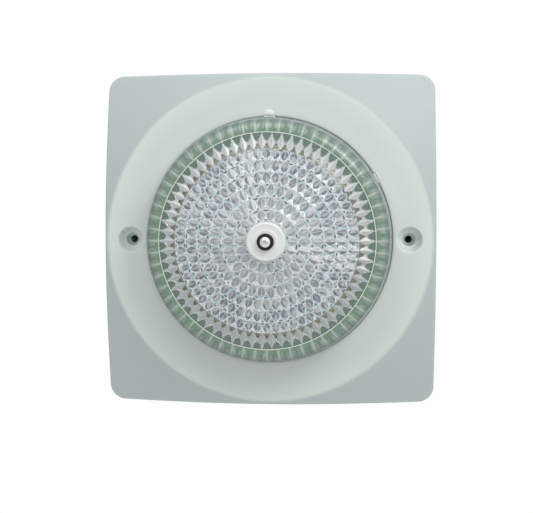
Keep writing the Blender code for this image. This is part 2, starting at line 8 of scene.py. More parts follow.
import bmesh
import bpy
import numpy as np
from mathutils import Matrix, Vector


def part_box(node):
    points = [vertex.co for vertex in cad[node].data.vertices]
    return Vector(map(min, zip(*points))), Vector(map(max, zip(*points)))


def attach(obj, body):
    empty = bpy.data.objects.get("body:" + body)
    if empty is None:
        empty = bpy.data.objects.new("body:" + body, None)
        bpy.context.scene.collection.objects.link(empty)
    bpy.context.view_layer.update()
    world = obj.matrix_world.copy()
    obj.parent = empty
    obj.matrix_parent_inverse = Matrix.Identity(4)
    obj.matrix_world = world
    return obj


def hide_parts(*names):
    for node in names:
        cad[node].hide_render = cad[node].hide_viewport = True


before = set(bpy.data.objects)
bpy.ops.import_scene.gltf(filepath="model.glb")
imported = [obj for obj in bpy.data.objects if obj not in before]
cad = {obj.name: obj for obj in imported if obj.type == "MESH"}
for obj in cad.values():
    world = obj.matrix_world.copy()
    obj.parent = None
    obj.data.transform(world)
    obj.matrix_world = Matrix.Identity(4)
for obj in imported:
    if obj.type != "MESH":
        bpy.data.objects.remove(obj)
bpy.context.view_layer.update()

scene = bpy.context.scene

# --- Studio -------------------------------------------------------------------------------------------------
# A white surround, a large soft key from the upper right, and a pale floor well below the wall unit. The
# camera stands a little right of the unit's axis and above it, as close as a hand-held one would.
target = Vector((0.0, -0.037, 0.0))
camera_azimuth = math.radians(3.3)
camera_elevation = math.radians(2.0)
camera_distance = 0.450
view_shift = (-0.00563, -0.03189)


def linear(code):
    """A six-digit sRGB hex colour as linear RGBA."""
    parts = [int(code[i:i + 2], 16) / 255 for i in (0, 2, 4)]
    return tuple(p / 12.92 if p <= 0.04045 else ((p + 0.055) / 1.055) ** 2.4 for p in parts) + (1.0,)


def add_node(tree, kind, inputs=(), **settings):
    """Adds a shader node with its settings and sets or links its inputs, given by name or in order. A hex
    string is a colour. Returns the node's output, or the collection of its outputs where it has several."""
    made = tree.nodes.new("ShaderNode" + kind)
    for key, value in settings.items():
        setattr(made, key, value)
    sockets = [socket for socket in made.inputs if socket.enabled]
    if isinstance(inputs, dict):
        sockets = [made.inputs[key] for key in inputs]
        inputs = inputs.values()
    for socket, value in zip(sockets, inputs):
        if isinstance(value, bpy.types.NodeSocket):
            tree.links.new(value, socket)
        else:
            socket.default_value = linear(value) if isinstance(value, str) else value
    results = [socket for socket in made.outputs if socket.enabled]
    return results[0] if len(results) == 1 else made.outputs


def start_material(name):
    """A new material, what adds a node to it, and its piece's object coordinates."""
    material = bpy.data.materials.new(name)
    material.use_nodes = True
    material.node_tree.nodes.clear()
    add = functools.partial(add_node, material.node_tree)
    return material, add, add("TexCoord")["Object"]


# Settings that many nodes share: a smooth step between two values, and a mix of colours.
soft = {"interpolation_type": "SMOOTHSTEP"}
colors = {"data_type": "RGBA"}

camera_data = bpy.data.cameras.new("camera")
camera_data.lens = 72.0
camera_data.sensor_width = 36.0
camera_data.clip_start = 0.01
camera_data.shift_x, camera_data.shift_y = view_shift
camera = bpy.data.objects.new("camera", camera_data)
view_line = Vector((
    math.sin(camera_azimuth) * math.cos(camera_elevation),
    -math.cos(camera_azimuth) * math.cos(camera_elevation),
    math.sin(camera_elevation),
))
camera.location = target + camera_distance * view_line
camera.rotation_euler = view_line.to_track_quat("Z", "Y").to_euler()
scene.collection.objects.link(camera)
scene.camera = camera
scene.view_settings.view_transform = "Standard"

world = bpy.data.worlds.new("white_surround")
world.use_nodes = True
sky = world.node_tree
sky.nodes.clear()
heading = add_node(sky, "TexCoord")["Generated"]
to_key = Vector((0.38, -0.64, 0.50)).normalized()
facing_key = add_node(sky, "VectorMath", (heading, to_key), operation="DOT_PRODUCT")
general = add_node(sky, "MapRange", (facing_key, -1.0, 1.0, 0.39, 0.78))
to_room = Vector((-0.05, -1.0, -0.05)).normalized()
facing_room = add_node(sky, "VectorMath", (heading, to_room), operation="DOT_PRODUCT")
room = add_node(sky, "MapRange", (facing_room, 0.80, 0.97, 1.0, 0.45), **soft)
light_strength = add_node(sky, "Math", (general, room), operation="MULTIPLY")
seen = add_node(sky, "LightPath")["Is Camera Ray"]
strength = add_node(sky, "Mix", (seen, light_strength, 1.0))
surround = add_node(sky, "Background", ("FFFFFF", strength))
add_node(sky, "OutputWorld", (surround,))
scene.world = world


def add_soft_light(name, place, size, power, color):
    """A square area light that faces the unit."""
    lamp = bpy.data.lights.new(name, "AREA")
    lamp.size = size
    lamp.energy = power
    lamp.color = linear(color)[:3]
    light = bpy.data.objects.new(name, lamp)
    light.location = place
    light.rotation_euler = (target - Vector(place)).to_track_quat("-Z", "Y").to_euler()
    scene.collection.objects.link(light)


add_soft_light("key_light", (0.39, -0.47, 0.47), 0.30, 1.45, "FFFEFA")
add_soft_light("top_light", (-0.10, -0.24, 0.42), 0.30, 0.46, "FAFCFF")

floor_left, floor_right, floor_front, floor_back, floor_height = -2.0, 2.0, -2.4, 0.6, -0.35
floor_corners = [(x, floor_front, floor_height) for x in (floor_left, floor_right)]
floor_corners += [(x, floor_back, floor_height) for x in (floor_right, floor_left)]
floor_mesh = bpy.data.meshes.new("floor")
floor_mesh.from_pydata(floor_corners, [], [(0, 1, 2, 3)])
floor = bpy.data.objects.new("floor", floor_mesh)
scene.collection.objects.link(floor)
floor_paint, add, place = start_material("matt_white_floor")
mottle = add("TexNoise", {"Vector": place, "Scale": 3.0, "Detail": 3.0})["Fac"]
floor_tone = add("Mix", (mottle, "EFEFED", "F6F6F4"), **colors)
add("OutputMaterial", [add("BsdfPrincipled", {"Base Color": floor_tone, "Roughness": 0.7})])
floor_mesh.materials.append(floor_paint)

# --- Front cover --------------------------------------------------------------------------------------------
# One injection moulding in frosted, faintly greenish white polycarbonate: a flat round face that rolls over
# a soft crease into four sloping corners, side walls down to the wall, and a seat and collar for the lens.
# Two bowl-shaped recesses lead to the fixing tunnels. The face is textured in the mould. The corners are
# painted a cooler, darker grey, a painted shade, and the face is painted brighter near the lens, a painted
# light.
face_z = 0.038
face_radius = 0.0685
crease_half = 0.0013
corner_fall = math.tan(math.radians(21))
cover_side, cover_corner, cover_wall = 0.140, 0.0065, 0.0025
cover_back = 0.0005
edge_round = 0.0010
step_z, step_width, inner_corner = 0.0131, 0.0023, 0.0045
opening_radius, seat_radius, seat_z, collar_radius, collar_z = 0.05175, 0.0488, 0.0330, 0.0545, 0.0318
tunnel_x, tunnel_radius, tunnel_hole, recess_radius = 0.05875, 0.0045, 0.00265, 0.00545
ledge_z, ledge_hole = 0.0305, 0.0016


def to_frame(points):
    """Wall axes (right, up, out) into the frame's axes (x, into the wall, up)."""
    points = np.asarray(points, float)
    return np.stack([points[..., 0], -points[..., 2], points[..., 1]], axis=-1)


def grid_quads(rows, columns, wrap_rows=False, wrap_columns=True, first=0):
    """The quads between neighbouring rows and columns of a grid of points, as index rows."""
    index = np.arange(rows * columns).reshape(rows, columns) + first
    if wrap_rows:
        index = np.vstack([index, index[:1]])
    if wrap_columns:
        index = np.hstack([index, index[:, :1]])
    corners = [index[:-1, :-1], index[:-1, 1:], index[1:, 1:], index[1:, :-1]]
    return np.stack([c.ravel() for c in corners], axis=1)


def make_piece(name, points, faces, material=None, smooth=True, sharp=35, marks=None):
    """A mesh from points in wall axes and lists of faces, turned so that its faces point outwards. Marks
    are three numbers a point, kept as the attribute facet."""
    mesh = bpy.data.meshes.new(name)
    mesh.from_pydata(to_frame(points), [], [tuple(f) for part in faces for f in part])
    if marks is not None:
        facet = mesh.attributes.new("facet", "FLOAT_VECTOR", "POINT")
        facet.data.foreach_set("vector", np.ascontiguousarray(marks, dtype=np.float32).ravel())
    bm = bmesh.new()
    bm.from_mesh(mesh)
    bmesh.ops.remove_doubles(bm, verts=bm.verts, dist=1e-7)
    if bm.calc_volume(signed=True) < 0:
        bmesh.ops.reverse_faces(bm, faces=bm.faces)
    bm.to_mesh(mesh)
    bm.free()
    if smooth:
        mesh.shade_smooth()
        mesh.set_sharp_from_angle(angle=math.radians(sharp))
    piece = bpy.data.objects.new(name, mesh)
    scene.collection.objects.link(piece)
    if material:
        mesh.materials.append(material)
    return piece


def turned_points(profile, steps, centre=(0.0, 0.0)):
    """A (radius, z) profile carried round the z axis: rows along the profile, columns round the axis."""
    profile = np.asarray(profile, float)
    angle = np.arange(steps) * 2 * np.pi / steps
    x = centre[0] + profile[:, :1] * np.cos(angle)
    y = centre[1] + profile[:, :1] * np.sin(angle)
    return np.stack([x, y, np.repeat(profile[:, 1:], steps, axis=1)], axis=-1)


def arc(radius, z, reach, angles, rise=None):
    """Profile points on an arc about (radius, z), or on an ellipse with its own upright rise."""
    rise = reach if rise is None else rise
    return [(radius + reach * math.cos(a), z + rise * math.sin(a)) for a in angles]


def turned_piece(name, profile, steps, centre=(0.0, 0.0), ring=False, material=None, sharp=35):
    """A turned solid. A ring's profile is a loop clear of the axis; another's ends are closed by a fan."""
    points = turned_points(profile, steps, centre)
    faces = [grid_quads(len(profile), steps, wrap_rows=ring)]
    flat = points.reshape(-1, 3)
    if not ring:
        ends = [np.array([[*centre, profile[0][1]]]), np.array([[*centre, profile[-1][1]]])]
        around = np.arange(steps)
        after = (around + 1) % steps
        last = (len(profile) - 1) * steps
        top, bottom = len(flat), len(flat) + 1
        faces.append(np.stack([np.full(steps, top), after, around], axis=1))
        faces.append(np.stack([np.full(steps, bottom), last + around, last + after], axis=1))
        flat = np.vstack([flat, *ends])
    return make_piece(name, flat, faces, material, sharp=sharp)


def rounded_square(side, corner, straight_steps=100, corner_steps=24):
    """Points round a square with rounded corners, anticlockwise from the middle of the right side."""
    half = side / 2
    straight = half - corner
    run = np.linspace(-straight, straight, straight_steps, endpoint=False)
    sweep = np.radians(np.linspace(0, 90, corner_steps, endpoint=False))
    edge = np.stack([np.full(straight_steps, half), run], axis=1)
    bend = np.stack([straight + corner * np.cos(sweep), straight + corner * np.sin(sweep)], axis=1)
    quarter = np.vstack([edge, bend])
    turns = [quarter @ np.array([[c, s], [-s, c]]) for c, s in ((1, 0), (0, 1), (-1, 0), (0, -1))]
    return np.roll(np.vstack(turns), -(straight_steps // 2), axis=0)


def face_height(radius):
    """The cover's front: flat inside the crease, a parabola across it, and a constant fall outside it."""
    across = radius - face_radius
    blend = (across + crease_half) ** 2 / (4 * crease_half)
    fall = np.where(across < -crease_half, 0, np.where(across > crease_half, across, blend))
    return face_z - corner_fall * fall


def cover_shell_rows():
    """The cover's wall as one closed loop of rows: out over the front, down the side, and back inside."""
    outline = rounded_square(cover_side, cover_corner)
    reach = np.linalg.norm(outline, axis=1)
    heading = outline / reach[:, None]
    around = len(outline)
    rows = []

    def circle_row(radius, z):
        rows.append(np.column_stack([heading * radius, np.full(around, z)]))

    def outline_row(inset, z):
        inner = rounded_square(cover_side - 2 * inset, max(cover_corner - inset, 0.002))
        rows.append(np.column_stack([inner, np.broadcast_to(z, around)]))

    for z in (collar_z, seat_z):
        circle_row(seat_radius, z)
    lip = 0.0004
    for z in (seat_z, (seat_z + face_z) / 2, face_z - lip):
        circle_row(opening_radius, z)
    for turn in np.radians([30, 60, 90]):
        circle_row(opening_radius + lip * (1 - math.cos(turn)), face_z - lip * (1 - math.sin(turn)))
    for radius in np.linspace(0.0530, face_radius - 2 * crease_half, 7):
        circle_row(radius, face_z)
    start = face_radius - crease_half
    limit = reach - edge_round
    for share in (np.arange(0, 37) / 36) ** 2.2:
        radius = start + (limit - start) * share
        rows.append(np.column_stack([heading * radius[:, None], face_height(radius)]))
    rim_z = face_height(limit)
    for turn in np.radians([18, 36, 54, 72, 90]):
        radius = limit + edge_round * math.sin(turn)
        z = rim_z - edge_round * (1 - math.cos(turn)) - corner_fall * edge_round * math.sin(turn) * 0.5
        rows.append(np.column_stack([heading * radius[:, None], z]))
    wall_top = rows[-1][:, 2]
    foot = cover_back + 0.0006
    for share in (0.1, 0.3, 0.5, 0.7, 0.9):
        outline_row(0, wall_top + (foot - wall_top) * share)
    outline_row(0, foot)
    outline_row(0.0002, cover_back + 0.0001)
    outline_row(0.0006, cover_back)
    outline_row(cover_wall - 0.0004, cover_back)
    outline_row(cover_wall, cover_back + 0.0004)
    outline_row(cover_wall, step_z - 0.0002)
    outline_row(cover_wall + step_width, step_z)
    inner = rounded_square(cover_side - 2 * (cover_wall + step_width), inner_corner)
    inner_reach = np.linalg.norm(inner, axis=1)
    under = face_height(inner_reach) - cover_wall
    for share in (0.5, 1.0):
        rows.append(np.column_stack([inner, step_z + (under - step_z) * share]))
    for share in (0.3, 0.6, 0.8, 0.9, 1.0):
        points = inner + (inner / inner_reach[:, None] * collar_radius - inner) * share
        rows.append(np.column_stack([points, face_height(np.linalg.norm(points, axis=1)) - cover_wall]))
    circle_row(collar_radius, collar_z)
    return np.array(rows)


def bar_outline(inner, outer, width, heading, centre=(0.0, 0.0)):
    """The corners of a bar that lies along a heading, between two distances from a centre."""
    out = np.array([inner, inner, outer, outer])
    aside = np.array([-0.5, 0.5, 0.5, -0.5]) * width
    x = centre[0] + out * math.cos(heading) - aside * math.sin(heading)
    y = centre[1] + out * math.sin(heading) + aside * math.cos(heading)
    return np.column_stack([x, y])


def upright_solid(name, outline, low, high, marks=None):
    """A solid with upright sides on an outline of (x, y) points, between two heights."""
    count = len(outline)
    ends = [np.column_stack([outline, np.full(count, z)]) for z in (low, high)]
    caps = [[range(count)[::-1]], [range(count, 2 * count)]]
    return make_piece(name, np.vstack(ends), [grid_quads(2, count), *caps], smooth=False, marks=marks)


def join_solids(piece, others, operation):
    """Cuts the other solids from a piece, or joins them to it, and removes them."""
    for other in others:
        step = piece.modifiers.new(other.name, "BOOLEAN")
        step.operation = operation
        step.object = other
    graph = bpy.context.evaluated_depsgraph_get()
    finished = bpy.data.meshes.new_from_object(piece.evaluated_get(graph), depsgraph=graph)
    piece.modifiers.clear()
    piece.data = finished
    for other in others:
        bpy.data.objects.remove(other)
    return piece


def frosted_polycarbonate():
    """Frosted polycarbonate: light goes a little way in. The round face is painted warmer and brighter than
    the corners, and brighter still near the lens, a painted light; the corners' cooler, darker grey is a
    painted shade."""
    material, add, place = start_material("frosted_polycarbonate")
    split = add("SeparateXYZ", [place])
    reach = add("VectorMath", [add("CombineXYZ", {"X": split["X"], "Z": split["Z"]})], operation="LENGTH")
    cloud = add("TexNoise", {"Vector": place, "Scale": 28.0, "Detail": 2.0})["Fac"]
    wander = add("Math", [cloud, 0.0010, reach], operation="MULTIPLY_ADD")
    on_corner = add("MapRange", [wander, face_radius - 0.0006, face_radius + 0.0016], **soft)
    # Painted light: the face is painted brighter within 9 mm of the lens, where the lens's shadow falls.
    near_lens = add("MapRange", [reach, opening_radius, opening_radius + 0.009, 1.0, 0.0], **soft)
    face_tone_away_from_lens = add("Mix", [cloud, "E0ECE6", "E5EFEA"], **colors)
    face_painted_light_near_lens = add("Mix", [cloud, "F0F9F4", "F3FBF7"], **colors)
    face_tone = add("Mix", [near_lens, face_tone_away_from_lens, face_painted_light_near_lens], **colors)
    # Painted shade: the sloping corners are painted a cooler, darker grey than the face.
    corner_painted_shade = add("Mix", [cloud, "C0CBCB", "C4CECE"], **colors)
    grain = add("TexNoise", {"Vector": place, "Scale": 2500.0, "Detail": 2.0})["Fac"]
    shader = add("BsdfPrincipled", {
        "Base Color": add("Mix", [on_corner, face_tone, corner_painted_shade], **colors),
        "Normal": add("Bump", {"Height": grain, "Strength": 0.25, "Distance": 0.00002}),
        "Roughness": 0.48, "IOR": 1.58, "Specular IOR Level": 0.4,
        "Subsurface Weight": 0.25, "Subsurface Radius": (0.006, 0.006, 0.006), "Subsurface Scale": 0.5,
    })
    add("OutputMaterial", [shader])
    return material


cover_rows = cover_shell_rows()
cover = make_piece(
    "cover_shell",
    cover_rows.reshape(-1, 3),
    [grid_quads(len(cover_rows), cover_rows.shape[1], wrap_rows=True)],
)

cutters = []
additions = []
for side in (-1, 1):
    middle = (side * tunnel_x, 0.0)
    bowl_turn = np.radians(np.linspace(-8, -59, 12))
    bowl = [(recess_radius + 0.0006, face_z + 0.001), (recess_radius + 0.0002, face_z + 0.00005)]
    bowl += arc(0, face_z + 0.0006, recess_radius, bowl_turn)
    bowl += [(tunnel_hole, face_z - 0.0060), (tunnel_hole, ledge_z), (ledge_hole, ledge_z), (ledge_hole, 0.0)]
    cutters.append(turned_piece(f"screw_path_{side}", bowl, 48, middle))
    tube = [(tunnel_radius, 0.0364), (tunnel_radius, 0.0093)]
    additions.append(turned_piece(f"tunnel_{side}", tube, 32, middle))
key_radius, key_rise = 0.00272, 0.0015
key = arc(0, face_z - 0.0009, key_radius, np.radians(np.linspace(85, -85, 18)), key_rise)
additions.append(turned_piece("lens_key", key, 36, (0.0, opening_radius + 0.0007)))
trim = [(opening_radius - 0.0001, face_z + 0.004), (opening_radius - 0.0001, seat_z + 0.0003)]
cutters.append(turned_piece("opening_trim", trim, 496))

lug_headings = np.radians([30, 90])
notch_start, notch_reach, notch_width = 0.050, 0.05235, 0.0051
for i, heading in enumerate(lug_headings):
    outline = bar_outline(notch_start, notch_reach, notch_width, heading)
    cutters.append(upright_solid(f"lug_notch_{i}", outline, seat_z + 0.0002, face_z + 0.007))

slot_count, slot_pitch, slot_width, slot_length, slot_z = 7, 0.0050, 0.0024, 0.0090, 0.0220
slot_steps, slot_depths = 24, (-0.062, -0.074)
bend = np.arange(slot_steps) * 2 * np.pi / slot_steps
across = slot_width / 2 * np.cos(bend)
along = slot_width / 2 * np.sin(bend) + np.sign(np.sin(bend) + 1e-9) * (slot_length - slot_width) / 2
for i in range(slot_count):
    middle = (i - (slot_count - 1) / 2) * slot_pitch
    ends = [np.column_stack([middle + across, np.full(slot_steps, y), slot_z + along]) for y in slot_depths]
    caps = [[range(slot_steps)], [range(slot_steps, 2 * slot_steps)[::-1]]]
    cutters.append(make_piece(f"sound_slot_{i}", np.vstack(ends), [grid_quads(2, slot_steps), *caps]))

join_solids(cover, additions, "UNION")
join_solids(cover, cutters, "DIFFERENCE")
cover.data.shade_smooth()
cover.data.set_sharp_from_angle(angle=math.radians(28))
cover.data.materials.clear()
cover.data.materials.append(frosted_polycarbonate())
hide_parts("front_cover")
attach(cover, "unit")

# --- Prismatic lens -----------------------------------------------------------------------------------------
# One clear polycarbonate moulding, a little green in its thickness. Its face is a shallow cone of seven
# rings: each ring is a groove between two circular crests, crossed by straight ridges, so that every ridge
# shows as an almond. The rounded shoulder and the wall are fluted inside and textured, and two lugs on the
# wall key it to the cover.
lens_low, lens_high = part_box("lens")
lens_radius = 0.0516
lens_base_z = -lens_high.y
boss_z = -lens_low.y - 0.0001
boss_radius = 0.0073
crests = np.array([0.0083, 0.0129, 0.0180, 0.0232, 0.0281, 0.0329, 0.0373])
ridge_counts = [18, 26, 34, 44, 52, 60, 66]
flute_count = 60
shoulder_radius = 0.0440
shoulder_bend = 0.0060
ridge_slope = 0.43
groove_depth = 0.00072
cone_top, cone_start = 0.0625, 0.0088
face_cone = (0.0626 - 0.0560) / (shoulder_radius - cone_start)
lens_wall = 0.0024
on_face, on_outer_ring, on_boss, on_skirt, on_inside = 0.0, 0.2, 1.0, 2.0, 3.0
lug_start, lug_reach, lug_width, lug_top = 0.0508, 0.0522, 0.0048, 0.0382


def cone_height(radius):
    """The height of the face's crests: a shallow cone that falls from the boss to the shoulder."""
    return cone_top - face_cone * (radius - cone_start)


def with_marks(points, across, along, zone):
    """Adds three numbers to each point for the material: its place across and along its facet, and its
    zone."""
    shape = points.shape[:2]
    marks = [np.broadcast_to(value, shape) for value in (across, along, zone)]
    return np.concatenate([points, np.stack(marks, axis=-1)], axis=-1)


def zipper(inner_first, inner_count, outer_first, outer_count):
    """Triangles between two circles of points that start at the same angle but differ in number."""
    inner = np.arange(inner_count + 1) / inner_count
    outer = np.arange(outer_count + 1) / outer_count
    beside = np.clip(np.searchsorted(outer, inner[1:], "left") - 1, 0, outer_count)
    a, b = np.arange(inner_count), np.arange(1, inner_count + 1) % inner_count
    first = np.stack([inner_first + a, inner_first + b, outer_first + beside % outer_count], axis=1)
    beside = np.clip(np.searchsorted(inner, outer[1:], "right") - 1, 0, inner_count)
    a, b = np.arange(outer_count), np.arange(1, outer_count + 1) % outer_count
    second = np.stack([outer_first + b, outer_first + a, inner_first + beside % inner_count], axis=1)
    return np.vstack([first, second])


def prism_ring(inner_radius, outer_radius, count, rows, across, drop, facet, share, zone):
    """One ring's grid: the columns of one cell, given by their distance from its ridge, repeated count
    times."""
    radius = inner_radius + (outer_radius - inner_radius) * share
    start = np.arange(count) * 2 * np.pi / count
    angle = (start[None, :, None] + (across / radius)[:, None, :]).reshape(rows, -1)
    height = cone_height(radius) - np.repeat(drop[:, None, :], count, axis=1).reshape(rows, -1)
    points = np.stack([radius * np.cos(angle), radius * np.sin(angle), height], axis=-1)
    return with_marks(points, np.repeat(facet[:, None, :], count, axis=1).reshape(rows, -1), share, zone)


def almond_ring(inner_radius, outer_radius, count, rows=15):
    """A ring whose depth is the lesser of a groove, depth*sin(pi*s), and a roof, slope*|u|, about each
    ridge. The columns follow the line where the two meet, so that the almond's outline is a real edge."""
    share = np.linspace(0, 1, rows)[:, None]
    radius = inner_radius + (outer_radius - inner_radius) * share
    dip = groove_depth * (0.04 + 0.96 * np.sin(np.pi * share))
    half_cell = radius * np.pi / count
    almond = np.minimum(dip / ridge_slope, half_cell * 0.93)
    gap = half_cell - almond
    across = [0 * almond, almond * 0.5, almond, almond + gap * 0.5, almond + gap, almond + gap * 1.5]
    across = np.hstack([*across, almond + 2 * gap, 2 * half_cell - almond * 0.5])
    from_ridge = np.minimum(across, 2 * half_cell - across)
    drop = np.minimum(dip, ridge_slope * from_ridge)
    facet = np.broadcast_to([0, 0.5, 1, 1.5, 2, 1.5, 1, 0.5], across.shape)
    return prism_ring(inner_radius, outer_radius, count, rows, across, drop, facet, share, on_face)


def scalloped_ring(inner_radius, outer_radius, count, rows=26, columns=12):
    """The outermost ring: long almonds whose grooves end, towards the shoulder, in flat half-round
    scallops, where ((gap - |u|) / 0.86 gap)^2 + ((outer radius - r) / 3.1 mm)^2 is below one."""
    share = np.linspace(0, 1, rows)[:, None]
    radius = inner_radius + (outer_radius - inner_radius) * share
    half_cell = radius * np.pi / count
    dip = groove_depth * (0.04 + 0.96 * np.sin(np.pi * np.clip(share / 0.90, 0, 1)) ** 0.9)
    across = 2 * half_cell * np.arange(columns) / columns
    from_ridge = np.minimum(across, 2 * half_cell - across)
    scallop = ((half_cell - from_ridge) / (0.86 * half_cell)) ** 2 + ((outer_radius - radius) / 0.0031) ** 2
    inside = np.clip((1.06 - scallop) / 0.12, 0, 1)
    drop = np.minimum(dip, ridge_slope * from_ridge) * (1 - inside) + 0.00010 * inside
    almond = np.minimum(dip / ridge_slope, half_cell * 0.93)
    past_almond = 1 + (from_ridge - almond) / (half_cell - almond)
    facet = np.where(from_ridge < almond, from_ridge / almond, past_almond)
    facet = facet * (1 - inside) + 3 * inside
    return prism_ring(inner_radius, outer_radius, count, rows, across, drop, facet, share, on_outer_ring)


def lens_bands():
    """The lens's skin as bands of grid rows: the boss, the rings, the shoulder and wall, and the fluted
    inside."""
    hole, ring_inner, ring_outer, ring_z = 0.0018, 0.0050, 0.0066, boss_z - 0.0001
    boss = [(hole, boss_z - 0.0002), (hole + 0.0002, boss_z), (ring_inner - 0.0002, boss_z)]
    boss += [(ring_inner, ring_z), (ring_outer, ring_z), (ring_outer + 0.0002, boss_z)]
    boss += [(boss_radius - 0.0001, boss_z)]
    boss += [(boss_radius + 0.0001, boss_z - 0.0002), (boss_radius + 0.0004, cone_height(crests[0]) + 0.0001)]
    boss_share = np.array([[radius / boss_radius] for radius, z in boss])
    bands = [with_marks(turned_points(boss, 144), 0, boss_share, on_boss)]
    for inner, outer, count in zip(crests[:-1], crests[1:], ridge_counts[:-1]):
        bands.append(almond_ring(inner + 0.00004, outer - 0.00004, count))
    bands.append(scalloped_ring(crests[-1] + 0.00004, shoulder_radius - 0.0001, ridge_counts[-1]))

    steps = flute_count * 12
    angle = np.arange(steps) * 2 * np.pi / steps
    flute = np.abs(np.sin(angle * flute_count / 2))
    flute_place = 1 - np.abs(2 * (np.arange(steps) % 12) / 12 - 1)
    bend = np.radians(np.linspace(87, 5, 20))
    bend_z = cone_height(shoulder_radius) - 0.0001 - shoulder_bend
    skirt = arc(shoulder_radius, bend_z, shoulder_bend, bend)
    radius, z = skirt[-1]
    foot_z = 0.0395
    skirt += [(radius + (lens_radius - radius) * t, z + (foot_z - z) * t) for t in (0.3, 0.6, 1)]
    skirt += [(lens_radius, 0.0365), (lens_radius, lens_base_z + 0.0003), (lens_radius - 0.0003, lens_base_z)]
    skirt_width = lens_radius - shoulder_radius
    skirt_share = np.array([[(radius - shoulder_radius) / skirt_width] for radius, z in skirt])
    bands.append(with_marks(turned_points(skirt, steps), flute_place, skirt_share, on_skirt))

    inner_radius = lens_radius - lens_wall
    rows = [(inner_radius, lens_base_z, 0.0), (inner_radius, lens_base_z + 0.0015, 0.3)]
    rows += [(inner_radius - 0.0016 * t, 0.0385 + 0.0105 * t, 1.0) for t in np.linspace(0, 1, 9)]
    for turn in np.linspace(20, 85, 9):
        a = math.radians(turn)
        depth = 1 - min(max((turn - 20) / 50, 0), 1) ** 2
        rows.append((0.0437 + 0.0038 * math.cos(a), 0.0488 + 0.0040 * math.sin(a), depth))
    for radius in (0.0400, 0.0340, 0.0260, 0.0180, 0.0095):
        rows.append((radius, cone_height(radius) - groove_depth - lens_wall * 0.8, 0.0))
    rows += [(0.0085, 0.0609, 0.0), (0.0019, 0.0609, 0.0)]
    radius, height, depth = (np.array(column)[:, None] for column in zip(*rows))
    radius = radius + 0.0009 * depth * (flute ** 1.3 - 0.5)
    height = np.broadcast_to(height, radius.shape)
    inside = np.stack([radius * np.cos(angle), radius * np.sin(angle), height], axis=-1)
    bands.append(with_marks(inside, flute, 0.5, on_inside))
    return bands


def joined_bands(bands):
    """One closed surface from bands of rows: a grid in each band and a zipper between neighbours, first to
    last."""
    faces, firsts, total = [], [], 0
    for band in bands:
        firsts.append(total)
        faces.append(grid_quads(band.shape[0], band.shape[1], first=total))
        total += band.shape[0] * band.shape[1]
    for i, band in enumerate(bands):
        after = (i + 1) % len(bands)
        last_row = firsts[i] + (band.shape[0] - 1) * band.shape[1]
        faces.append(zipper(last_row, band.shape[1], firsts[after], bands[after].shape[1])[:, ::-1])
    return np.vstack([band.reshape(-1, 6) for band in bands]), faces


